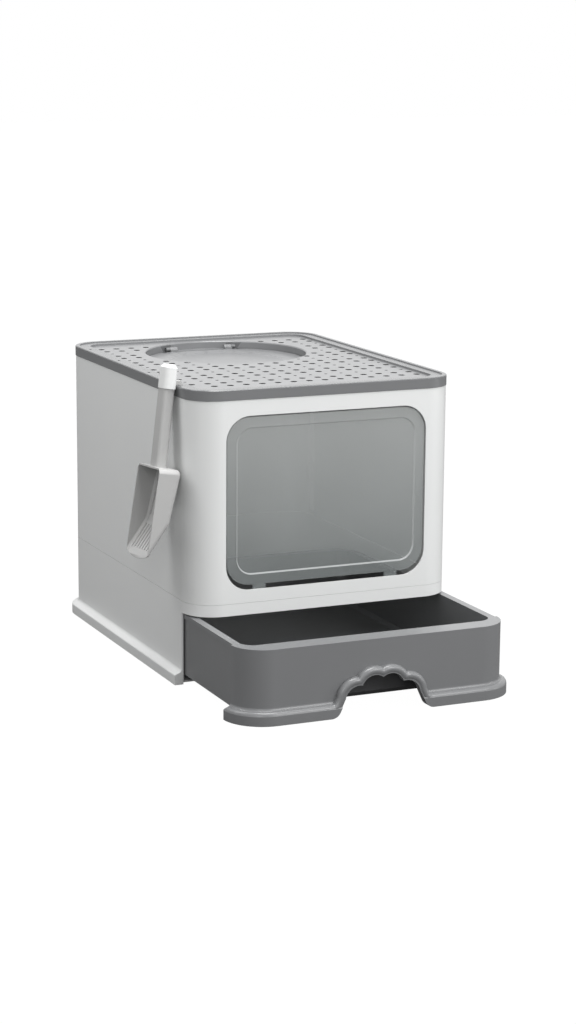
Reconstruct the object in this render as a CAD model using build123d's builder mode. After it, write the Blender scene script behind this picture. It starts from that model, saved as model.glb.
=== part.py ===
from build123d import *
import os
from math import sqrt

# Enclosed litter box: base, four wall panels, lid with an exit hatch, flap door, drawer and
# scoop. Millimetres. Seen from the front, X points right, Y points back and Z points up.
# The origin is on the floor, under the middle of the casing.

# Casing
body_width = 372
body_depth = 486
corner_radius = 42
wall = 2.4
base_height = 112
rail_height = 15.4
rail_flange = 8
floor_setback = 9

# Flared foot
foot_reach = 9.5
foot_face = 13.5
foot_rise = 4
foot_edge_radius = 2.5
foot_cove_radius = 5

# Clearances
stack_gap = 0.3
slide_gap = 0.3
side_gap = 0.6
pivot_clearance = 0.06

# Tongues, flanges and clips that join the panels
tongue_depth = 10
tongue_thickness = 1.8
tongue_root = 5
flange_reach = 7
flange_thickness = 2
flange_inset = 12
clip_length = 24
clip_wall = 1.6
clip_bite = 5
clip_spread = 62

# Door
door_width = 283
door_height = 226.5
door_sill = 129
door_top_margin = 20.6
door_radius = 33
flap_side_gap = 1.5
flap_top_gap = 1.8
flap_bottom_gap = 6.3
flap_setback = 0.8
flap_border = 15
flap_border_thickness = 3.6
flap_panel_thickness = 1.8
flap_inner_radius = 20
flap_step_slope = 45
flap_edge_bevel = 0.7
tab_width = 18
tab_spacing = 188
tab_overlap = 4
tab_thickness = 2
door_pivot_drop = 6
door_pivot_setback = 0.2
door_pin_radius = 1.5
door_pin_bite = 6
socket_radius = 3.6

# Lid
lid_band = 13.6
lid_proud = 0.7
lid_edge_bevel = 1
rim_width = 21
rim_rise = 4
rim_bead = 6
rim_step = 1.4
rim_hole = 6.5
rim_hole_inset = 9.7
rim_hole_pitch = 116.6
plate_thickness = 2.4
vent_pitch_x = 22.3
vent_pitch_y = 23
vent_diameter = 9.5
small_vent_diameter = 5
vent_web = 0.25
skirt_depth = 8

# Round recess and exit hatch
well_radius = 113
well_centre_y = 101
well_depth = 10.2
well_edge_bevel = 1.4
ledge_width = 8
hatch_gap = 1.5
hatch_thickness = 2.2
hatch_dish_radius = 86
hatch_dish_depth = 2.4
hatch_dish_slope = 5
hatch_hinge_back = 97
hatch_corner_relief = 9
hatch_pin_radius = 1.5
hatch_lug_width = 5.5
hatch_lug_spacing = 101
hatch_knuckle_width = 11
hatch_knuckle_radius = 3

# Drawer
drawer_out = 164
drawer_height = 94.5
drawer_length = 479
drawer_inset = 4.5
drawer_lip = 1.5
drawer_lip_height = 6
drawer_lift = 13
front_rim_width = 28
side_rim_width = 10
basin_radius = 18
basin_draft = 1.2
basin_floor_bevel = 5
basin_underside_bevel = 6.5
skirt_cove_radius = 8
runner_width = 6
runner_rib_spacing = 240

# Finger opening, half of a cloud from the dip between its top lobes to its spread foot. X is
# across the drawer's front, Y is up.
cloud_dip = (0, 46.5)
cloud_top_lobe = (14, 50)
cloud_notch = (28.5, 38.5)
cloud_side_lobe = (42, 36.5)
cloud_waist = (52, 23)
cloud_ankle = (58.5, 9)
cloud_instep = (62.5, 3.2)
cloud_toe = (70, 0)
cloud_bead = 10
cloud_bead_height = 8
cloud_bead_step = 2

# Scoop
scoop_width = 79
scoop_depth = 31.2
scoop_bend_depth = 22
scoop_bend = 70.4
scoop_length = 111
scoop_tip = 8
scoop_wall = 2
scoop_radius = 7
scoop_inner_bevel = 2.6
scoop_lean_out = 8.4
scoop_lean_side = -4.3
scoop_standoff = 37.5
scoop_setback = 16.5
scoop_drop = 101
handle_width = 27
handle_thickness = 15
handle_radius = 5
handle_length = 112
handle_setback = 5
knob_width = 31
knob_thickness = 17
knob_length = 19
knob_bevel = 4
knob_overlap = 12
hook_width = 10
hook_thickness = 5
hook_lip = 2.4
slot_width = 3
slot_pitch = 8.6
slot_count = 8
slot_margin = 6

# Levels and planes that several pieces share
half_width = body_width / 2
half_depth = body_depth / 2
seam_y = half_depth - corner_radius
bay_height = base_height - rail_height
panel_bottom = base_height + stack_gap
panel_top = door_sill + door_height + door_top_margin
lid_bottom = panel_top + stack_gap
total_height = lid_bottom + lid_band
shelf_z = total_height - rim_step
plate_top = total_height - rim_rise
tongue_inset = wall + stack_gap
span = body_width + body_depth


def casing_outline(inset, mode=Mode.ADD):
    """Plan outline of the casing, moved in by inset."""
    RectangleRounded(body_width - 2 * inset, body_depth - 2 * inset, corner_radius - inset, mode=mode)


def casing_ring(inset, thickness):
    """Plan of an upright wall that follows the casing's outline."""
    casing_outline(inset)
    casing_outline(inset + thickness, mode=Mode.SUBTRACT)


def keep_beyond_seam(side):
    """Keep what lies in front of the front seams (side -1) or behind the rear seams (side 1)."""
    with Locations((0, side * (seam_y + (stack_gap + span) / 2))):
        Rectangle(2 * span, span, mode=Mode.INTERSECT)


def foot_profile():
    """Section of the flared foot: X outward from the wall's outer face, Y up."""
    shoulder = foot_face + foot_rise
    top = shoulder + 2 * foot_cove_radius
    with BuildLine() as section:
        FilletPolyline(
            (foot_reach, 0),
            (foot_reach, foot_face),
            (0, shoulder),
            (0, top),
            radius=(foot_edge_radius, foot_cove_radius),
        )
        Polyline((0, top), (-wall / 2, top), (-wall / 2, 0), (foot_reach, 0))
    make_face(section.edges())


# Base frame: floor, side and rear walls with a flared foot, and a rail above the drawer's bay
foot_start = Plane(origin=(-half_width, -seam_y, 0), x_dir=(-1, 0, 0), z_dir=(0, 1, 0))
runner_top = drawer_lift - slide_gap
floor_front = -seam_y + floor_setback
floor_length = half_depth - wall / 2 - floor_front
with BuildPart() as base_frame:
    with BuildSketch():
        casing_ring(0, wall)
    extrude(amount=base_height)
    with BuildSketch():
        with Locations((0, -seam_y - span / 2)):
            Rectangle(2 * span, span)
    extrude(amount=bay_height, mode=Mode.SUBTRACT)
    with BuildSketch(Plane.XY.offset(bay_height)):
        casing_ring(wall / 2, rail_flange)
        keep_beyond_seam(-1)
    extrude(amount=wall)
    with BuildSketch():
        casing_outline(wall / 2)
        with Locations((0, floor_front + floor_length / 2)):
            Rectangle(body_width, floor_length, mode=Mode.INTERSECT)
    extrude(amount=wall)
    # runners along the walls and two ribs on the floor, on which the drawer slides
    with BuildSketch():
        casing_ring(wall / 2, runner_width)
        with Locations((0, (floor_front + seam_y) / 2)):
            Rectangle(body_width, seam_y - floor_front, mode=Mode.INTERSECT)
    extrude(amount=runner_top)
    with BuildSketch():
        with Locations((0, (floor_front + seam_y) / 2)):
            with GridLocations(runner_rib_spacing, 0, 2, 1):
                Rectangle(wall, seam_y - floor_front)
    extrude(amount=runner_top)
    # flared foot round the sides and the back
    with BuildLine():
        FilletPolyline(
            (-half_width, -seam_y),
            (-half_width, half_depth),
            (half_width, half_depth),
            (half_width, -seam_y),
            radius=corner_radius,
        )
    with BuildSketch(foot_start):
        foot_profile()
    sweep()


def panel_end(side):
    """Plan steps of an end panel: outer wall, then the tongue that drops inside the base."""
    with BuildSketch(Plane.XY.offset(panel_bottom)) as outer_wall:
        casing_ring(0, wall)
        keep_beyond_seam(side)
    extrude(outer_wall.sketch, amount=panel_top - panel_bottom)
    with BuildSketch(Plane.XY.offset(panel_bottom - tongue_depth)) as tongue:
        casing_ring(tongue_inset, tongue_thickness)
        keep_beyond_seam(side)
    extrude(tongue.sketch, amount=tongue_depth + tongue_root)
    with BuildSketch(Plane.XY.offset(panel_bottom)) as root:
        casing_ring(wall / 2, tongue_inset + tongue_thickness / 2 - wall / 2)
        keep_beyond_seam(side)
    extrude(root.sketch, amount=tongue_root)


def seam_flanges(y_side, beyond, x_sides=(-1, 1)):
    """Inward flanges beside the seams. beyond is 1 on the end panel's side, -1 on the side panel's."""
    flange_y = y_side * (seam_y + beyond * (stack_gap + flange_thickness) / 2)
    with BuildSketch(Plane.XY.offset(panel_bottom + flange_inset)) as flanges:
        for x_side in x_sides:
            with Locations((x_side * (half_width - (wall + flange_reach) / 2 - wall / 4), flange_y)):
                Rectangle(flange_reach + wall / 2, flange_thickness)
    extrude(flanges.sketch, amount=panel_top - panel_bottom - 2 * flange_inset)


# Front panel: white moulding with the rounded doorway and two sockets for the flap's pins
doorway_z = door_sill + door_height / 2
door_pivot_z = door_sill + door_height - door_pivot_drop
door_pivot_y = -half_depth + flap_setback + flap_border_thickness / 2 + door_pivot_setback
flap_radius = door_radius - flap_side_gap
flap_half = door_width / 2 - flap_side_gap
flap_top = door_sill + door_height - flap_top_gap
socket_reach = socket_radius + slide_gap
pivot_rise = door_pivot_z - socket_reach - (flap_top - flap_radius)
socket_start = flap_half - flap_radius + sqrt(flap_radius**2 - pivot_rise**2) + slide_gap
pin_end = socket_start + door_pin_bite
with BuildPart() as front_panel:
    panel_end(-1)
    seam_flanges(-1, 1)
    with BuildSketch(Plane.XZ.offset(half_depth + wall)):
        with Locations((0, doorway_z)):
            RectangleRounded(door_width, door_height, door_radius)
    extrude(amount=-4 * wall, mode=Mode.SUBTRACT)
    for x_side in (-1, 1):
        with BuildSketch(Plane.YZ.offset(x_side * (socket_start + door_pin_bite / 2 + slide_gap))):
            with Locations((door_pivot_y, door_pivot_z)):
                Circle(socket_radius)
            with Locations((-half_depth - span / 2 + wall / 2, door_pivot_z)):
                Rectangle(span, span, mode=Mode.SUBTRACT)
        extrude(amount=door_pin_bite / 2 + slide_gap, both=True)
    with BuildSketch(Plane.YZ):
        with Locations((door_pivot_y, door_pivot_z)):
            Circle(door_pin_radius + pivot_clearance)
    extrude(amount=pin_end + slide_gap, both=True, mode=Mode.SUBTRACT)

# Rear panel: plain, wraps both rear corners
with BuildPart() as rear_panel:
    panel_end(1)
    seam_flanges(1, 1)


def side_panel(x_side):
    """Flat side wall with a tongue into the base and a flange at each upright edge."""
    length = 2 * seam_y - stack_gap
    inner = tongue_inset + tongue_thickness
    with BuildPart() as panel:
        with BuildSketch(Plane.XY.offset(panel_bottom)):
            with Locations((x_side * (half_width - wall / 2), 0)):
                Rectangle(wall, length)
        extrude(amount=panel_top - panel_bottom)
        with BuildSketch(Plane.XY.offset(panel_bottom - tongue_depth)):
            with Locations((x_side * (half_width - inner + tongue_thickness / 2), 0)):
                Rectangle(tongue_thickness, length)
        extrude(amount=tongue_depth + tongue_root)
        with BuildSketch(Plane.XY.offset(panel_bottom)):
            with Locations((x_side * (half_width - (inner + wall / 2) / 2), 0)):
                Rectangle(inner - wall / 2, length)
        extrude(amount=tongue_root)
        for y_side in (-1, 1):
            seam_flanges(y_side, -1, (x_side,))
    return panel


left_panel = side_panel(-1)
right_panel = side_panel(1)


def seam_clips(x_side, y_side):
    """Two channel clips pushed from inside over the paired flanges of one seam."""
    grip = 2 * flange_thickness + stack_gap + 2 * slide_gap
    flange_tip = half_width - wall - flange_reach
    back = flange_tip - slide_gap - clip_wall
    bite = clip_bite + slide_gap
    middle_z = (panel_bottom + panel_top) / 2
    with BuildPart() as clips:
        for z_side in (-1, 1):
            with BuildSketch(Plane.XY.offset(middle_z + z_side * clip_spread)):
                with Locations((x_side * (back + (clip_wall + bite) / 2), y_side * seam_y)):
                    Rectangle(clip_wall + bite, grip + 2 * clip_wall)
                with Locations((x_side * (back + clip_wall + bite / 2), y_side * seam_y)):
                    Rectangle(bite, grip, mode=Mode.SUBTRACT)
            extrude(amount=clip_length / 2, both=True)
    return clips


seam_corners = {"front_left": (-1, -1), "front_right": (1, -1), "rear_left": (-1, 1), "rear_right": (1, 1)}
clips = {f"clips_{name}": seam_clips(*sides) for name, sides in seam_corners.items()}

# Lid: hollow raised rim, perforated plate, round recess with a ledge, locating skirt
plate_bottom = plate_top - plate_thickness
hatch_top = plate_top - well_depth
ledge_top = hatch_top - hatch_thickness - slide_gap
ledge_bottom = ledge_top - plate_thickness
hinge_y = well_centre_y + hatch_hinge_back
hinge_z = hatch_top + hatch_knuckle_radius + slide_gap
hinge_reach = hatch_knuckle_radius + slide_gap
fixed_floor_y = hinge_y + slide_gap
lug_height = hinge_z - ledge_bottom
plate_half_width = half_width + lid_proud - rim_width
plate_half_depth = half_depth + lid_proud - rim_width
vent_columns = int((plate_half_width - vent_diameter / 2 - vent_web) // vent_pitch_x)
vent_rows = int((plate_half_depth - 2 * vent_diameter) // vent_pitch_y)
blank_corner = (-vent_columns, -vent_rows)


def clear_of_well(x, y):
    """True where a vent leaves a web of plate between itself and the round recess."""
    return sqrt(x**2 + (y - well_centre_y) ** 2) > well_radius + vent_diameter / 2 + vent_web


def vents(small):
    """Centres of the vents. Every third row has small ones, and one corner has none."""
    return [
        (column * vent_pitch_x, row * vent_pitch_y)
        for row in range(-vent_rows, vent_rows + 1)
        for column in range(-vent_columns, vent_columns + 1)
        if (row % 3 == 0) == small
        and (column, row) != blank_corner
        and clear_of_well(column * vent_pitch_x, row * vent_pitch_y)
    ]


with BuildPart() as lid:
    with BuildSketch(Plane.XY.offset(lid_bottom)):
        casing_outline(-lid_proud)
    extrude(amount=lid_band)
    chamfer(lid.faces().sort_by(Axis.Z)[-1].edges(), lid_edge_bevel)
    with BuildSketch(Plane.XY.offset(lid_bottom)):
        casing_outline(wall - lid_proud)
    extrude(amount=shelf_z - wall - lid_bottom, mode=Mode.SUBTRACT)
    with BuildSketch(Plane.XY.offset(plate_bottom)):
        casing_outline(rim_width - wall - lid_proud)
    extrude(amount=shelf_z - plate_bottom)
    with BuildSketch(Plane.XY.offset(shelf_z)):
        casing_outline(rim_bead - lid_proud)
    extrude(amount=rim_step, mode=Mode.SUBTRACT)
    with BuildSketch(Plane.XY.offset(plate_top)):
        casing_outline(rim_width - lid_proud)
    extrude(amount=rim_rise, mode=Mode.SUBTRACT)
    with BuildSketch(Plane.XY.offset(panel_top - skirt_depth)):
        casing_ring(tongue_inset, tongue_thickness)
    extrude(amount=shelf_z - wall / 2 - panel_top + skirt_depth)
    # recess: a cup with an open floor, its ledge, and the fixed floor behind the hatch
    with BuildSketch(Plane.XY.offset(ledge_bottom)):
        with Locations((0, well_centre_y)):
            Circle(well_radius + wall)
    extrude(amount=plate_top - ledge_bottom)
    with BuildSketch(Plane.XY.offset(ledge_top)):
        with Locations((0, well_centre_y)):
            Circle(well_radius)
    extrude(amount=plate_top - ledge_top, mode=Mode.SUBTRACT)
    chamfer(lid.edges().filter_by(GeomType.CIRCLE).filter_by(
        lambda edge: abs(edge.radius - well_radius) < wall / 4).sort_by(Axis.Z)[-1], well_edge_bevel)
    with BuildSketch(Plane.XY.offset(ledge_bottom)):
        with Locations((0, well_centre_y)):
            Circle(well_radius - ledge_width)
        with Locations((0, fixed_floor_y + span / 2)):
            Rectangle(span, span, mode=Mode.SUBTRACT)
    extrude(amount=plate_thickness, mode=Mode.SUBTRACT)
    with BuildSketch(Plane.XY.offset(ledge_bottom)):
        with Locations((0, well_centre_y)):
            Circle(well_radius + wall / 2)
        with Locations((0, fixed_floor_y + span / 2)):
            Rectangle(span, span, mode=Mode.INTERSECT)
    extrude(amount=hatch_top - ledge_bottom)
    # lugs for the hatch's pins
    for x_side in (-1, 1):
        with BuildSketch(Plane.YZ.offset(x_side * hatch_lug_spacing / 2)):
            with Locations((hinge_y, hinge_z)):
                Circle(hatch_knuckle_radius)
            with Locations((hinge_y + hatch_knuckle_radius, hinge_z - lug_height / 2)):
                Rectangle(2 * hatch_knuckle_radius, lug_height)
        extrude(amount=hatch_lug_width / 2, both=True)
    with BuildSketch(Plane.YZ):
        with Locations((hinge_y, hinge_z)):
            Circle(hatch_pin_radius)
    extrude(amount=hatch_lug_spacing / 2 + hatch_lug_width, both=True, mode=Mode.SUBTRACT)
    # vents with eight and six flats, and the round holes in the left rim
    with BuildSketch(Plane.XY.offset(plate_bottom)):
        with Locations(*vents(small=False)):
            RegularPolygon(vent_diameter / 2, 8)
        with Locations(*vents(small=True)):
            RegularPolygon(small_vent_diameter / 2, 6)
    extrude(amount=plate_thickness, mode=Mode.SUBTRACT)
    with BuildSketch(Plane.XY.offset(plate_bottom)):
        with Locations((rim_hole_inset - half_width - lid_proud, 0)):
            with GridLocations(0, rim_hole_pitch, 1, 4):
                Circle(rim_hole / 2)
    extrude(amount=rim_width, mode=Mode.SUBTRACT)

# Exit hatch: a dished disc on the ledge, cut straight at the back, with two hinge knuckles
hatch_radius = well_radius - hatch_gap
hatch_bottom = hatch_top - hatch_thickness
dish_top = hatch_top - hatch_dish_depth
dish_inner = hatch_dish_radius - hatch_dish_slope
hatch_back = hinge_y - pivot_clearance - hatch_pin_radius
knuckle_x = (hatch_lug_spacing - hatch_lug_width - hatch_knuckle_width) / 2 - slide_gap
knuckle_height = hinge_z - hatch_bottom
with BuildPart() as exit_hatch:
    with BuildSketch(Plane.XZ.offset(-well_centre_y)):
        with BuildLine():
            Polyline(
                (0, dish_top),
                (dish_inner, dish_top),
                (hatch_dish_radius, hatch_top),
                (hatch_radius, hatch_top),
                (hatch_radius, hatch_bottom),
                (hatch_dish_radius, hatch_bottom),
                (dish_inner, dish_top - hatch_thickness),
                (0, dish_top - hatch_thickness),
                close=True,
            )
        make_face()
    revolve(axis=Axis((0, well_centre_y, 0), (0, 0, 1)))
    with BuildSketch(Plane.XY.offset(ledge_bottom)):
        with Locations((0, hatch_back + span / 2)):
            Rectangle(span, span)
        with Locations((0, hinge_y - hinge_reach + span / 2)):
            with GridLocations(hatch_lug_spacing, 0, 2, 1):
                Rectangle(hatch_lug_width + 2 * side_gap, span)
        # the corners beside the lugs would meet the recess's wall when the hatch stands open
        with Locations((0, hinge_y - hatch_corner_relief + span / 2)):
            with GridLocations(hatch_lug_spacing + hatch_lug_width + 2 * side_gap + span, 0, 2, 1):
                Rectangle(span, span)
    extrude(amount=well_depth, mode=Mode.SUBTRACT)
    for x_side in (-1, 1):
        with BuildSketch(Plane.YZ.offset(x_side * knuckle_x)):
            with Locations((hinge_y, hinge_z)):
                Circle(hatch_knuckle_radius)
            with Locations((hinge_y - hatch_knuckle_radius, hinge_z - knuckle_height / 2)):
                Rectangle(2 * hatch_knuckle_radius, knuckle_height)
        extrude(amount=hatch_knuckle_width / 2, both=True)
    with BuildSketch(Plane.YZ):
        with Locations((hinge_y, hinge_z)):
            Circle(hatch_pin_radius + pivot_clearance)
    extrude(amount=span / 2, both=True, mode=Mode.SUBTRACT)


def hatch_pin(x_side):
    """Plain pin, tight in the lid's lug and free in the hatch's knuckle."""
    outer = (hatch_lug_spacing + hatch_lug_width) / 2
    length = hatch_lug_width + slide_gap + hatch_knuckle_width
    with BuildPart() as pin:
        with BuildSketch(Plane.YZ.offset(x_side * (outer - length / 2))):
            with Locations((hinge_y, hinge_z)):
                Circle(hatch_pin_radius)
        extrude(amount=length / 2, both=True)
    return pin


hatch_pin_left = hatch_pin(-1)
hatch_pin_right = hatch_pin(1)

# Door flap: thin panel in a raised border, pins at the top corners, stop tabs at the bottom
flap_bottom = door_sill + flap_bottom_gap
flap_height = flap_top - flap_bottom
flap_back = -half_depth + flap_setback + flap_border_thickness
tab_front = -half_depth + wall + slide_gap
tab_height = flap_bottom_gap + 2 * tab_overlap
with BuildPart() as door_flap:
    with BuildSketch(Plane.XZ.offset(-flap_back)):
        with Locations((0, flap_bottom + flap_height / 2)):
            RectangleRounded(2 * flap_half, flap_height, flap_radius)
    extrude(amount=flap_border_thickness)
    chamfer(door_flap.faces().sort_by(Axis.Y)[0].edges(), flap_edge_bevel)
    with BuildSketch(Plane.XZ.offset(-flap_back + flap_panel_thickness)):
        with Locations((0, flap_bottom + flap_height / 2)):
            RectangleRounded(
                2 * (flap_half - flap_border), flap_height - 2 * flap_border, flap_inner_radius
            )
    extrude(amount=flap_border_thickness, taper=-flap_step_slope, mode=Mode.SUBTRACT)
    with BuildSketch(Plane.XZ.offset(-tab_front - tab_thickness)):
        with Locations((0, door_sill - tab_overlap + tab_height / 2)):
            with GridLocations(tab_spacing, 0, 2, 1):
                Rectangle(tab_width, tab_height)
    extrude(amount=tab_thickness)
    with BuildSketch(Plane.YZ):
        with Locations((door_pivot_y, door_pivot_z)):
            Circle(door_pin_radius)
    extrude(amount=pin_end, both=True)

# Drawer, drawn where the photograph shows it, pulled out by drawer_out
drawer_front = -half_depth - drawer_out
drawer_seam = drawer_front + corner_radius - side_gap
drawer_half = half_width - drawer_inset
drawer_middle = drawer_front + drawer_length / 2
basin_half = drawer_half + drawer_lip - side_rim_width
basin_front = drawer_front + front_rim_width
basin_back = drawer_front + drawer_length - side_rim_width
basin_bottom = drawer_lift + wall
drawer_foot_start = Plane(
    origin=(-half_width, drawer_front + 2 * corner_radius, 0), x_dir=(-1, 0, 0), z_dir=(0, 1, 0)
)


def tray_outline(inset, mode=Mode.ADD):
    """Plan of the tray between the base's walls, moved in by inset."""
    with Locations((0, drawer_middle)):
        RectangleRounded(
            2 * (drawer_half - inset),
            drawer_length - 2 * inset,
            corner_radius - drawer_inset - inset,
            mode=mode,
        )


def front_block(inset):
    """Plan of the drawer's full-width front, which ends where the base's walls begin."""
    with BuildSketch() as block:
        with Locations((0, drawer_front + half_depth)):
            casing_outline(inset)
        with Locations((0, drawer_seam - inset - span / 2)):
            Rectangle(2 * span, span, mode=Mode.INTERSECT)
    return block.sketch


def basin_outline(inset, mode=Mode.ADD):
    """Plan of the litter basin at its rim, moved in by inset."""
    with Locations((0, (basin_front + basin_back) / 2)):
        RectangleRounded(
            2 * (basin_half - inset), basin_back - basin_front - 2 * inset, basin_radius - inset, mode=mode
        )


def basin_block(inset, bottom, bevel):
    """Block of the basin's shape with a little draft and a bevelled floor."""
    with BuildPart() as block:
        with BuildSketch(Plane.XY.offset(drawer_height)):
            basin_outline(inset)
        extrude(amount=bottom - drawer_height, taper=basin_draft)
        chamfer(block.faces().sort_by(Axis.Z)[0].edges(), bevel)
    return block.part


def cloud_outline():
    """Cloud with two lobes above, one at each side and a spread foot. X across, Y up."""
    with BuildLine() as half_cloud:
        ThreePointArc(cloud_dip, cloud_top_lobe, cloud_notch)
        ThreePointArc(cloud_notch, cloud_side_lobe, cloud_waist)
        Line(cloud_waist, cloud_ankle)
        ThreePointArc(cloud_ankle, cloud_instep, cloud_toe)
        Line(cloud_toe, (0, 0))
        mirror(about=Plane.YZ)
    make_face(half_cloud.edges())


basin_outer = basin_block(-wall, drawer_lift, basin_underside_bevel)
basin_inner = basin_block(0, basin_bottom, basin_floor_bevel)
with BuildPart() as drawer_tray:
    # foot across the front and round its corners, with a raised bead in two steps round the cloud
    with BuildLine():
        FilletPolyline(
            (-half_width, drawer_front + 2 * corner_radius),
            (-half_width, drawer_front),
            (half_width, drawer_front),
            (half_width, drawer_front + 2 * corner_radius),
            radius=corner_radius,
        )
    with BuildSketch(drawer_foot_start):
        foot_profile()
    sweep()
    with BuildSketch():
        with Locations((0, drawer_seam + span / 2)):
            Rectangle(span, span)
    extrude(amount=drawer_height, mode=Mode.SUBTRACT)
    for step in (0, cloud_bead_step):
        with BuildSketch(Plane.XZ.offset(-drawer_front - wall / 2)):
            cloud_outline()
            offset(amount=cloud_bead - step)
            with Locations((0, span / 2)):
                Rectangle(span, span, mode=Mode.INTERSECT)
        extrude(amount=cloud_bead_height - cloud_bead_step + step + wall / 2)
    # skirt, which sweeps up behind the front and stands clear of the runners
    with BuildSketch():
        tray_outline(0)
        add(front_block(0))
        tray_outline(wall, mode=Mode.SUBTRACT)
        add(front_block(wall), mode=Mode.SUBTRACT)
    extrude(amount=drawer_height)
    with BuildSketch(Plane.YZ):
        with Locations((drawer_seam + span / 2, 0)):
            RectangleRounded(span, 2 * drawer_lift, skirt_cove_radius)
    extrude(amount=span, both=True, mode=Mode.SUBTRACT)
    # rim: top plate with a thin lip along the sides and the back
    with BuildSketch(Plane.XY.offset(drawer_height - drawer_lip_height)):
        tray_outline(-drawer_lip)
        tray_outline(wall / 2, mode=Mode.SUBTRACT)
        with Locations((0, drawer_seam + span / 2)):
            Rectangle(span, span, mode=Mode.INTERSECT)
    extrude(amount=drawer_lip_height)
    with BuildSketch(Plane.XY.offset(drawer_height - wall)):
        tray_outline(0)
        add(front_block(0))
    extrude(amount=wall)
    add(basin_outer)
    add(basin_inner, mode=Mode.SUBTRACT)
    # finger opening in the shape of a cloud
    with BuildSketch(Plane.XZ.offset(-drawer_front - 2 * wall)):
        cloud_outline()
    extrude(amount=4 * wall + cloud_bead_height, mode=Mode.SUBTRACT)

# Scoop: open-fronted bowl with slots, a straight handle with a knob, and a hook over the lid's rim
scoop_middle = (-half_width - scoop_standoff, scoop_setback - seam_y, total_height - scoop_drop)
scoop_frame = Plane(origin=scoop_middle).rotated((scoop_lean_side, scoop_lean_out, 0))
scoop_side = Plane(origin=scoop_frame.origin, x_dir=scoop_frame.x_dir, z_dir=-scoop_frame.y_dir)
scoop_face = Plane(origin=scoop_frame.origin, x_dir=-scoop_frame.y_dir, z_dir=-scoop_frame.x_dir)
tip_slope = scoop_bend_depth / (scoop_length - scoop_bend)
tip_end = scoop_length + scoop_tip
tip_radius = (scoop_width**2 / 4 + scoop_tip**2) / (2 * scoop_tip)
handle_x = handle_setback + handle_thickness / 2
knob_bottom = handle_length - knob_overlap
slot_top = scoop_bend - slot_margin
slot_row = (tip_end - scoop_bend) - 3 * slot_margin


def scoop_block(inset, mouth, ease_back, size):
    """Wedge with eased back edges: X toward the casing, down the scoop as negative Y."""
    end = tip_end + mouth
    with BuildPart() as block:
        with BuildSketch(scoop_side):
            Polygon(
                (-mouth, -inset),
                (scoop_depth - inset, -inset),
                (scoop_bend_depth - inset, -scoop_bend),
                (scoop_bend_depth - inset - tip_slope * (end - scoop_bend), -end),
                align=None,
            )
        extrude(amount=scoop_width / 2 - inset, both=True)
        back = block.edges().filter_by(
            lambda edge: scoop_frame.to_local_coords(edge.center()).X > scoop_bend_depth / 4 - mouth / 2
        )
        ease_back(back, size)
    return block.part


scoop_outer = scoop_block(0, 0, fillet, scoop_radius)
scoop_inner = scoop_block(scoop_wall, scoop_depth, chamfer, scoop_inner_bevel)
hook_y = scoop_middle[1] + handle_length * scoop_frame.z_dir.Y
with BuildPart() as scoop:
    add(scoop_outer)
    add(scoop_inner, mode=Mode.SUBTRACT)
    # rounded tip
    with BuildSketch(scoop_face):
        with Locations((0, tip_radius - tip_end)):
            Circle(tip_radius)
        with Locations((0, -scoop_bend / 2)):
            Rectangle(scoop_width, scoop_bend)
    extrude(amount=span, both=True, mode=Mode.INTERSECT)
    # two rows of slots, above and below the bend
    with BuildSketch(scoop_face):
        with Locations((0, -slot_top + slot_row / 2), (0, -scoop_bend - slot_margin - slot_row / 2)):
            with GridLocations(slot_pitch, 0, slot_count, 1):
                Rectangle(slot_width, slot_row)
    extrude(amount=span / 4, both=True, mode=Mode.SUBTRACT)
    # handle and knob
    with BuildSketch(scoop_frame.offset(-scoop_wall)):
        with Locations((handle_x, 0)):
            RectangleRounded(handle_thickness, handle_width, handle_radius)
    extrude(amount=handle_length)
    with BuildSketch(scoop_frame.offset(knob_bottom)):
        with Locations((handle_x, 0)):
            RectangleRounded(knob_thickness, knob_width, knob_thickness / 2.2)
    extrude(amount=handle_length + knob_length - knob_bottom)
    chamfer(scoop.faces().sort_by(Axis.Z)[-1].edges(), knob_bevel)
    # hook over the lid's outer bead
    hook_bottom = total_height + slide_gap
    hook_tip = -half_width - lid_proud + rim_bead + slide_gap + hook_lip
    hook_root = scoop_middle[0] + handle_x + handle_length * scoop_frame.z_dir.X
    with BuildSketch(Plane.XZ.offset(-hook_y)):
        with Locations(((hook_root + hook_tip) / 2, hook_bottom + hook_thickness / 2)):
            Rectangle(hook_tip - hook_root, hook_thickness)
        with Locations((hook_tip - hook_lip / 2, (shelf_z + slide_gap + hook_bottom + hook_thickness) / 2)):
            Rectangle(hook_lip, hook_bottom + hook_thickness - shelf_z - slide_gap)
    extrude(amount=hook_width / 2, both=True)

pieces = {
    "base_frame": base_frame,
    "front_panel": front_panel,
    "rear_panel": rear_panel,
    "left_panel": left_panel,
    "right_panel": right_panel,
    **clips,
    "lid": lid,
    "exit_hatch": exit_hatch,
    "hatch_pin_left": hatch_pin_left,
    "hatch_pin_right": hatch_pin_right,
    "door_flap": door_flap,
    "drawer_tray": drawer_tray,
    "scoop": scoop,
}
os.makedirs("parts", exist_ok=True)
for name, piece in pieces.items():
    piece.part.label = name
    export_step(piece.part, f"parts/{name}.step")
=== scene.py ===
from math import atan2, cos, hypot, pi, radians, sin

import bpy
from mathutils import Matrix, Vector


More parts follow.
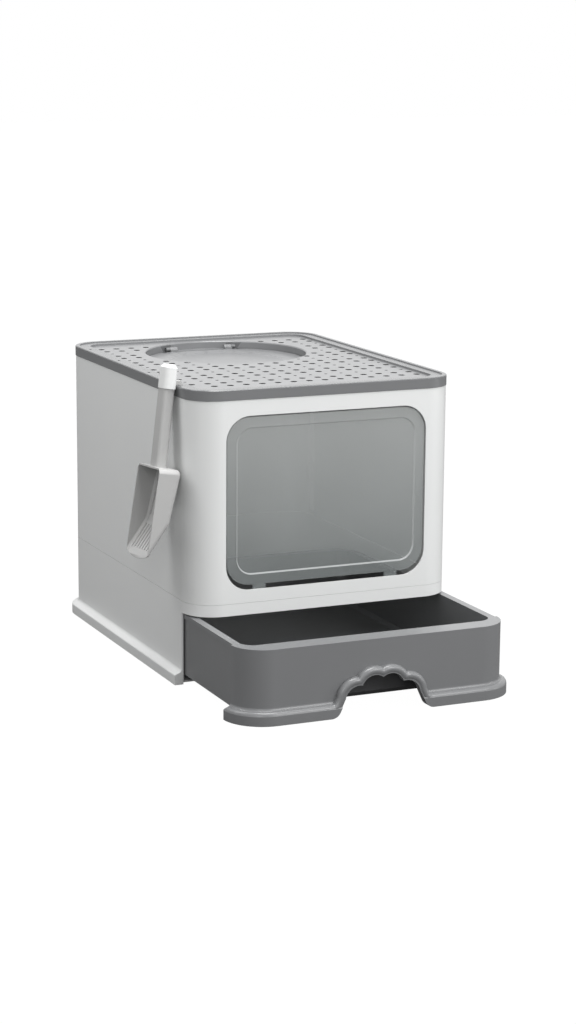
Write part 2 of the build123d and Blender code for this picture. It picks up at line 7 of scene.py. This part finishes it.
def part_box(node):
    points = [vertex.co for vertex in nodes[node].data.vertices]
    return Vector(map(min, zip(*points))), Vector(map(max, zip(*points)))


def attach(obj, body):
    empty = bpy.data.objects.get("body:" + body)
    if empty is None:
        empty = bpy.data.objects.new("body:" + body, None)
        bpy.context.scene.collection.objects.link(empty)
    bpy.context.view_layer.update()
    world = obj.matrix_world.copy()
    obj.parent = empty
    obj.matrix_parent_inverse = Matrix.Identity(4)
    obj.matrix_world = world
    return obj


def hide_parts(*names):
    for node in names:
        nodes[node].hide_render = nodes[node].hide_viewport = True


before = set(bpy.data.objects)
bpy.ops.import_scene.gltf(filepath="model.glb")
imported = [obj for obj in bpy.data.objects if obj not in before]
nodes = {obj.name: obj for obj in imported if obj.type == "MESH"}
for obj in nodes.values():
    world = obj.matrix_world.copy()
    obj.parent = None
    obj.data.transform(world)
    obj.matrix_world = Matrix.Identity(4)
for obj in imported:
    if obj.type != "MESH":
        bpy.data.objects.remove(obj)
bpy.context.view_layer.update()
bpy.ops.object.select_all(action="DESELECT")


# Base frame: a white polypropylene tub, open to the front, with a flared foot round its sides and
# back. It is injection moulded in one, with a satin skin that shows a very fine grain. The four
# wall panels stand on it and are the same plastic.
class Value:
    """A number that changes over a surface. Python's operators on it add Math nodes."""

    def __init__(self, maker, socket):
        self.maker = maker
        self.socket = socket

    def math(self, operation, a, b):
        return self.maker.node("ShaderNodeMath", {"operation": operation}, {0: a, 1: b})

    def __add__(self, other):
        return self.math("ADD", self, other)

    def __sub__(self, other):
        return self.math("SUBTRACT", self, other)

    def __mul__(self, other):
        return self.math("MULTIPLY", self, other)

    __radd__ = __add__
    __rmul__ = __mul__


class Finish:
    """One material: its shader, and a method that adds any other node."""

    def __init__(self, name):
        self.material = bpy.data.materials.new(name)
        self.material.use_nodes = True
        self.tree = self.material.node_tree
        self.shader = self.tree.nodes["Principled BSDF"]

    def link(self, target, value):
        if isinstance(value, Value):
            self.tree.links.new(value.socket, target)
        elif hasattr(target, "default_value"):
            target.default_value = value

    def node(self, kind, settings=None, inputs=None, output=0):
        made = self.tree.nodes.new(kind)
        for key, value in (settings or {}).items():
            setattr(made, key, value)
        for key, value in (inputs or {}).items():
            self.link(made.inputs[key], value)
        return Value(self, made.outputs[output])

    def set(self, **sockets):
        for key, value in sockets.items():
            self.link(self.shader.inputs[key.replace("_", " ")], value)

    def place(self):
        return self.node("ShaderNodeTexCoord", output="Object")

    def noise(self, per_metre, detail=2.0, roughness=0.5):
        """Soft noise from 0 to 1, with about this many lumps in a metre."""
        return self.node(
            "ShaderNodeTexNoise",
            None,
            {"Vector": self.place(), "Scale": per_metre, "Detail": detail, "Roughness": roughness},
        )

    def blend_colours(self, factor, first, second):
        made = self.tree.nodes.new("ShaderNodeMix")
        made.data_type = "RGBA"
        self.link(made.inputs["Factor"], factor)
        self.link(made.inputs[6], first)
        self.link(made.inputs[7], second)
        return Value(self, made.outputs[2])


def moulded_plastic(name, pale, deep, roughness):
    """Satin moulded plastic: slight flow shading, fine spark-eroded grain and soft handling marks."""
    finish = Finish(name)
    flow = finish.noise(per_metre=7.0, detail=3.0)
    specks = finish.noise(per_metre=900.0, detail=1.0)
    speck_share = 0.2
    tint = flow * (1 - speck_share) + specks * speck_share
    finish.set(Base_Color=finish.blend_colours(tint, (*deep, 1), (*pale, 1)))
    marks = finish.noise(per_metre=38.0, detail=5.0, roughness=0.62)
    mark_span = 0.10
    finish.set(Roughness=roughness - mark_span / 2 + marks * mark_span)
    peel = finish.noise(per_metre=120.0, detail=1.0)
    skin = finish.noise(per_metre=2600.0, detail=2.0)
    peel_share = 0.35
    height = peel * peel_share + skin * (1 - peel_share)
    grain_depth = 0.0002
    grain_strength = 0.10
    bump = finish.node(
        "ShaderNodeBump",
        None,
        {"Strength": grain_strength, "Distance": grain_depth, "Height": height},
    )
    finish.set(Normal=bump)
    return finish.material


def give(piece, material):
    """Put one material in all of a piece's slots."""
    for slot in piece.material_slots:
        slot.material = material
    if not piece.material_slots:
        piece.data.materials.append(material)


sharp_angle = radians(28)
weld_distance = 1e-6
rounding_steps = 3


def moulding(node_name, body, material, edge_radius):
    """Stand in for a rigid node with the same form, its sharp edges rounded as a mould leaves them."""
    bpy.ops.object.select_all(action="DESELECT")
    solid = nodes[node_name]
    solid.select_set(True)
    bpy.context.view_layer.objects.active = solid
    bpy.ops.object.duplicate()
    piece = bpy.context.object
    piece.name = node_name + "_moulding"
    bpy.ops.object.mode_set(mode="EDIT")
    bpy.ops.mesh.select_all(action="SELECT")
    bpy.ops.mesh.remove_doubles(threshold=weld_distance)
    bpy.ops.mesh.customdata_custom_splitnormals_clear()
    bpy.ops.object.mode_set(mode="OBJECT")
    rounding = piece.modifiers.new("rounded_edges", "BEVEL")
    rounding.width = edge_radius
    rounding.segments = rounding_steps
    rounding.limit_method = "ANGLE"
    rounding.angle_limit = sharp_angle
    rounding.miter_outer = "MITER_ARC"
    bpy.ops.object.modifier_apply(modifier=rounding.name)
    bpy.ops.object.shade_smooth_by_angle(angle=sharp_angle)
    flats = piece.modifiers.new("even_flats", "WEIGHTED_NORMAL")
    flats.keep_sharp = True
    bpy.ops.object.modifier_apply(modifier=flats.name)
    give(piece, material)
    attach(piece, body)
    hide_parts(node_name)
    return piece


white = moulded_plastic("white_plastic", (0.84, 0.85, 0.84), (0.80, 0.81, 0.81), 0.34)
moulding("base_frame", "casing", white, 0.0006)

# Wall panels: the front panel with the doorway, a plain rear panel and two flat side panels. Each
# drops into the base on a tongue, and their upright flanges meet at the four seams inside.
moulding("front_panel", "casing", white, 0.0008)
moulding("rear_panel", "casing", white, 0.0005)
moulding("left_panel", "casing", white, 0.0005)
moulding("right_panel", "casing", white, 0.0005)

# Seam clips: small pale polypropylene channels, cut from a moulded strip. They are pushed from
# inside over each pair of flanges, two to a seam, and grip them by spring.
clip_plastic = moulded_plastic("clip_plastic", (0.80, 0.81, 0.80), (0.76, 0.77, 0.76), 0.45)
for name in ("clips_front_left", "clips_front_right", "clips_rear_left", "clips_rear_right"):
    give(nodes[name], clip_plastic)

# Lid: a mid grey moulding with a hollow raised rim, a plate full of vents and a round recess. It
# drops over the panels on its skirt. The vents' walls are painted nearly black as painted shade,
# and the rim's top and the hatch's lugs a deeper grey, also as painted shade.
grey = moulded_plastic("grey_plastic", (0.205, 0.208, 0.213), (0.185, 0.188, 0.193), 0.30)
lid = moulding("lid", "lid", grey, 0.0005)
# Painted shade: near black for the vents' walls, a deeper grey for the rim's top and the lugs.
shade = moulded_plastic("vent_shade", (0.012, 0.012, 0.013), (0.008, 0.008, 0.009), 0.8)
rim_and_lug_painted_shade = moulded_plastic("rim_lug_painted_shade", (0.135, 0.138, 0.142), (0.120, 0.123, 0.127), 0.26)
lid.data.materials.append(rim_and_lug_painted_shade)
lid.data.materials.append(shade)
rim_width = 0.021
rim_rise = 0.004
rim_margin = 0.002
rim_clear = 0.001
plate_thickness = 0.0024
skin_depth = 0.00005
well_gap = 0.0015
well_margin = 0.0026
lug_room = 0.008
level = 0.9
upward = 0.5
lid_low, lid_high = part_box("lid")
hatch_low, hatch_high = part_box("exit_hatch")
pin_boxes = [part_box(name) for name in ("hatch_pin_left", "hatch_pin_right")]
well_radius = hatch_high.x + well_gap
well_middle = Vector((0, hatch_low.y + hatch_high.x))
plate_top = lid_high.z - rim_rise
# Upward faces of the rim and the lugs' faces take the painted shade grey; the vents' walls take the
# painted black shade.
for face in lid.data.polygons:
    place = face.center
    in_painted_shade = place.z > plate_top + rim_clear and face.normal.z > upward
    for pin_low, pin_high in pin_boxes:
        beside_pin = pin_low.x - lug_room < place.x < pin_high.x + lug_room
        on_lug = beside_pin and abs(place.y - (pin_low.y + pin_high.y) / 2) < lug_room
        on_lug = on_lug and pin_low.z - lug_room < place.z < plate_top - rim_clear
        in_painted_shade = in_painted_shade or on_lug
    if in_painted_shade:
        face.material_index = len(lid.data.materials) - 2
    in_plate = plate_top - plate_thickness < place.z < plate_top - skin_depth
    inside_rim = abs(place.x) < lid_high.x - rim_width - rim_margin
    inside_rim = inside_rim and abs(place.y) < lid_high.y - rim_width - rim_margin
    beside_well = (place.xy - well_middle).length > well_radius + well_margin
    if in_plate and inside_rim and beside_well and abs(face.normal.z) < level:
        face.material_index = len(lid.data.materials) - 1

# Exit hatch: a thin dished disc, moulded in the lid's grey. It lies on the recess's ledge and
# turns up on two knuckles at its back edge.
moulding("exit_hatch", "hatch", grey, 0.0005)

# Hatch pins: two short pieces of drawn steel wire, with faint marks along them. They are
# pressed into the lid's lugs, and the hatch's knuckles turn on them.
wire = Finish("pin_steel")
scratches = wire.noise(1800.0, detail=2.0)
wire_roughness = 0.25
scratch_span = 0.2
wire.set(
    Base_Color=(0.55, 0.55, 0.56, 1),
    Metallic=1.0,
    Roughness=wire_roughness + scratches * scratch_span,
)
for name in ("hatch_pin_left", "hatch_pin_right"):
    give(nodes[name], wire.material)

# Door flap: milky see-through polypropylene, thin in the middle, with a thicker border and two
# tabs that rest behind the sill. It turns on two pins moulded at its top corners. Its grading
# from pale to deep matches the photo's tones. Its colour is graded as painted light and shade,
# pale at the top and deeper at the foot.
door_low, door_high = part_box("door_flap")


def smoky_plastic_painted_light(name, pale, deep, roughness, cover):
    """Thin milky plastic, painted pale at the top and deeper at the foot as light and shade, with
    faint clouds and marks.
    """
    finish = Finish(name)
    clouding = finish.noise(per_metre=14.0, detail=3.0)
    cloud_share = 0.15
    wiping = finish.noise(per_metre=60.0, detail=4.0)
    wiping_span = 0.05
    height = finish.node("ShaderNodeSeparateXYZ", None, {"Vector": finish.place()}, output=2)
    # Height up the flap, which grades the colour from painted shade at the foot to painted light at
    # the top.
    painted_light_rise = (height - door_low.z) * (1 / (door_high.z - door_low.z))
    finish.set(
        Base_Color=finish.blend_colours(
            painted_light_rise * (1 - cloud_share) + clouding * cloud_share, (*deep, 1), (*pale, 1)
        ),
        Roughness=roughness + wiping * wiping_span,
        IOR=1.48,
        Alpha=cover,
    )
    return finish.material


smoke = smoky_plastic_painted_light("smoky_plastic_painted_light", (0.96, 0.99, 0.98), (0.40, 0.44, 0.44), 0.12, 0.22)
door = moulding("door_flap", "door", smoke, 0.0005)
# Painted highlight: the inner step's sloped faces are paler and more opaque, a bright line where the
# step catches the light.
step_painted_highlight = smoky_plastic_painted_light("step_painted_highlight", (0.93, 0.95, 0.95), (0.80, 0.83, 0.83), 0.35, 0.4)
door.data.materials.append(step_painted_highlight)
step_margin = 0.008
least_slope = 0.1
most_slope = 0.97
for face in door.data.polygons:
    inside = abs(face.center.x) < door_high.x - step_margin
    inside = inside and door_low.z + 2 * step_margin < face.center.z < door_high.z - step_margin
    if inside and least_slope < abs(face.normal.y) < most_slope:
        face.material_index = len(door.data.materials) - 1

# Drawer: one grey moulding with double walls, a wide rim, and a finger opening shaped like a
# cloud. The tray's inside and the hollow behind the opening are painted deeper, as painted shade
# where shade falls in them. It slides in the base on two runners.
drawer = moulding("drawer_tray", "drawer", grey, 0.0016)
drawer_low, drawer_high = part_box("drawer_tray")
# Painted shade: a deeper grey for the tray's inside and a near black for the hollow behind the
# opening.
tray_painted_shade = moulded_plastic("tray_inside_painted_shade", (0.150, 0.153, 0.156), (0.130, 0.133, 0.136), 0.42)
hollow_painted_shade = moulded_plastic("drawer_hollow_painted_shade", (0.060, 0.061, 0.063), (0.050, 0.051, 0.053), 0.5)
for added in (tray_painted_shade, hollow_painted_shade):
    drawer.data.materials.append(added)
tray_middle = (drawer_low + drawer_high) / 2
wall_reach = 0.02
rim_roll = 0.003
hollow_reach = 0.06
overhang = -0.1
facing_front = -0.5
for face in drawer.data.polygons:
    inward = (tray_middle - face.center).xy.dot(face.normal.xy) > 0
    within = abs(face.center.x) < drawer_high.x - wall_reach
    within = within and drawer_low.y + wall_reach < face.center.y < drawer_high.y
    on_floor = face.normal.z > level and face.center.z < tray_middle.z
    below_rim = face.center.z < drawer_high.z - rim_roll
    if within and (on_floor or (inward and below_rim and face.normal.z > overhang)):
        face.material_index = len(drawer.data.materials) - 2
    behind_front = drawer_low.y + wall_reach < face.center.y < drawer_low.y + hollow_reach
    behind_front = behind_front and abs(face.center.x) < drawer_high.x - hollow_reach
    if behind_front and face.normal.y < facing_front:
        face.material_index = len(drawer.data.materials) - 1


def arc_points(start, through, end, count):
    """Points on the arc through three points, without the last one."""
    (ax, az), (bx, bz), (cx, cz) = start, through, end
    turn = 2 * (ax * (bz - cz) + bx * (cz - az) + cx * (az - bz))
    a2, b2, c2 = ax * ax + az * az, bx * bx + bz * bz, cx * cx + cz * cz
    middle_x = (a2 * (bz - cz) + b2 * (cz - az) + c2 * (az - bz)) / turn
    middle_z = (a2 * (cx - bx) + b2 * (ax - cx) + c2 * (bx - ax)) / turn
    radius = hypot(ax - middle_x, az - middle_z)
    first = atan2(az - middle_z, ax - middle_x)
    last = atan2(cz - middle_z, cx - middle_x)
    sweep = (last - first + pi) % (2 * pi) - pi
    angles = [first + sweep * step / count for step in range(count)]
    return [(middle_x + radius * cos(a), middle_z + radius * sin(a)) for a in angles]


# Drawer bead: the rounded bead that runs along the foot's top edge and up round the cloud. It is
# moulded with the drawer, and is drawn here as a swept round of its own, half sunk in the front.
bead_radius = 0.0056
bead_height = 0.0118
bead_sink = 0.0038
bead_dip = (0, 0.0522)
bead_top_lobe = (0.0155, 0.0548)
bead_notch = (0.0312, 0.0437)
bead_side_lobe = (0.046, 0.0410)
bead_waist = (0.0568, 0.0246)
bead_knee = (0.0612, 0.0150)
bead_shin = (0.0645, 0.0126)
bead_toe = (0.0700, bead_height)
foot_reach = 0.0095
corner_radius = 0.042
front_y = drawer_low.y + foot_reach - bead_sink
bend_x = drawer_high.x - foot_reach - corner_radius
lobe_steps = 10
knee_steps = 4
half = arc_points(bead_dip, bead_top_lobe, bead_notch, lobe_steps)
half += arc_points(bead_notch, bead_side_lobe, bead_waist, lobe_steps)
half += [bead_waist]
half += arc_points(bead_knee, bead_shin, bead_toe, knee_steps)
half += [bead_toe]
route = [(x, front_y, z) for x, z in half]
bend_radius = corner_radius + bead_sink
bend_steps = 18
bend_start = -90
bend_turn = 85
for step in range(bend_steps + 1):
    angle = radians(bend_start + step * bend_turn / bend_steps)
    bend_y = front_y + bend_radius * (1 + sin(angle))
    route.append((bend_x + bend_radius * cos(angle), bend_y, bead_height))
bpy.ops.object.select_all(action="DESELECT")
bpy.ops.curve.primitive_bezier_curve_add()
bead = bpy.context.object
bead.name = "drawer_bead"
bead.data.splines.clear()
line = bead.data.splines.new("POLY")
points = [(-x, y, z) for x, y, z in reversed(route)] + route[1:]
line.points.add(len(points) - 1)
for point, place in zip(line.points, points):
    point.co = (*place, 1)
bead.data.bevel_depth = bead_radius
bead_roundness = 6
bead.data.bevel_resolution = bead_roundness
bead.data.use_fill_caps = True
bpy.ops.object.convert(target="MESH")
bpy.ops.object.shade_smooth()
give(bead, grey)
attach(bead, "drawer")

# Scoop: pale grey polypropylene, moulded in one with its slots. It hangs by its hook over the
# lid's outer bead, and the knob on top of its handle is painted white, as painted light on its top.
scoop_grey = moulded_plastic("scoop_plastic", (0.47, 0.47, 0.465), (0.43, 0.43, 0.425), 0.36)
scoop = moulding("scoop", "scoop", scoop_grey, 0.001)
scoop.data.materials.append(white)
knob_bottom = lid_high.z
knob_margin = 0.002
knob_side = -0.18
hook_height = 0.007
steep = 0.7
# Painted light: the knob's faces on top of the handle take the white plastic.
for face in scoop.data.polygons:
    on_hook = face.center.x > lid_low.x and face.center.z < knob_bottom + hook_height
    on_hook = on_hook and abs(face.normal.x) < steep
    knob_painted_light = face.center.z > knob_bottom - knob_margin and face.center.x < knob_side
    if knob_painted_light and not on_hook:
        face.material_index = len(scoop.data.materials) - 1

# Floor and light: a white paper sweep, an even white surround, a large soft key from the front
# right and soft strips at the front left and right. The paper glows for the camera alone, so
# that it is white without more light on the object.
floor_size = 30
bpy.ops.mesh.primitive_plane_add(size=floor_size, location=(0, 0, 0))
floor = bpy.context.object
floor.name = "floor"
paper = Finish("paper_sweep")
paper.set(Base_Color=(0.1, 0.1, 0.1, 1), Roughness=0.9)
seen = paper.node("ShaderNodeLightPath", output="Is Camera Ray")
glow_strength = 1.13
glow = paper.node("ShaderNodeEmission", None, {"Strength": glow_strength})
mirrored = paper.node("ShaderNodeLightPath", output="Is Glossy Ray")
through = paper.node("ShaderNodeLightPath", output="Is Transmission Ray")
glow_share = 0.88
mirrored_share = 0.05
mixed = paper.node(
    "ShaderNodeMixShader",
    None,
    {
        0: (seen + through) * glow_share + mirrored * mirrored_share,
        1: Value(paper, paper.shader.outputs[0]),
        2: glow,
    },
)
paper.tree.links.new(mixed.socket, paper.tree.nodes["Material Output"].inputs["Surface"])
give(floor, paper.material)

world = bpy.data.worlds.new("surround")
bpy.context.scene.world = world
world.use_nodes = True
sky = world.node_tree.nodes
background = sky["Background"]
background.inputs["Color"].default_value = (1, 1, 1, 1)
sky_strength = 0.38
path = sky.new("ShaderNodeLightPath")
straight = sky.new("ShaderNodeMath")
straight.operation = "MAXIMUM"
world.node_tree.links.new(path.outputs["Is Camera Ray"], straight.inputs[0])
world.node_tree.links.new(path.outputs["Is Transmission Ray"], straight.inputs[1])
shown = sky.new("ShaderNodeMath")
shown.operation = "MAXIMUM"
world.node_tree.links.new(straight.outputs[0], shown.inputs[0])
world.node_tree.links.new(path.outputs["Is Glossy Ray"], shown.inputs[1])
brightness = sky.new("ShaderNodeMapRange")
world.node_tree.links.new(shown.outputs[0], brightness.inputs["Value"])
brightness.inputs["To Min"].default_value = sky_strength
brightness.inputs["To Max"].default_value = 1.0
world.node_tree.links.new(brightness.outputs["Result"], background.inputs["Strength"])


def soft_light(name, place, aim, width, height, power):
    """Rectangular soft light at a place, facing a point."""
    bpy.ops.object.light_add(type="AREA", location=place)
    lamp = bpy.context.object
    lamp.name = name
    lamp.rotation_euler = (Vector(aim) - Vector(place)).to_track_quat("-Z", "Y").to_euler()
    lamp.data.shape = "RECTANGLE"
    lamp.data.size = width
    lamp.data.size_y = height
    lamp.data.energy = power
    lamp.visible_camera = False


middle = (0, -0.05, 0.2)
soft_light("key", (1.2, -2.7, 1.9), middle, 1.6, 1.6, 47)
soft_light("corner_strip", (-1.5, -2.8, 1.3), middle, 0.3, 1.4, 13)
soft_light("top_left", (-0.95, 0.1, 1.25), (-0.1, 0, 0.35), 0.5, 0.9, 6)
soft_light("overhead", (0.1, -0.5, 2.4), middle, 1.2, 1.2, 50)
soft_light("right_strip", (2.4, -1.5, 0.8), middle, 0.3, 1.5, 9)
soft_light("back_panel", (1.9, 4.1, 1.3), middle, 3.2, 1.6, 4)

# Camera: the photograph's viewpoint, above the front left corner, with a long lens. Its place
# and axes were solved on the photo's edges of casing, lid and drawer.
camera_place = (-1.26535, -2.95760, 0.85421)
camera_right = (0.91401642, -0.40560827, 0.0074781)
camera_up = (0.07707369, 0.19172028, 0.97841861)
camera_back = (-0.39828839, -0.89371431, 0.20649721)
bpy.ops.object.camera_add()
camera = bpy.context.object
camera_axes = Matrix((camera_right, camera_up, camera_back)).transposed().to_4x4()
camera.matrix_world = Matrix.Translation(camera_place) @ camera_axes
sensor_width = 36
focal_length = 83.12
far_limit = 60
camera.data.sensor_width = sensor_width
camera.data.lens = focal_length
camera.data.clip_end = far_limit
bpy.context.scene.camera = camera
bpy.context.scene.view_settings.view_transform = "Standard"
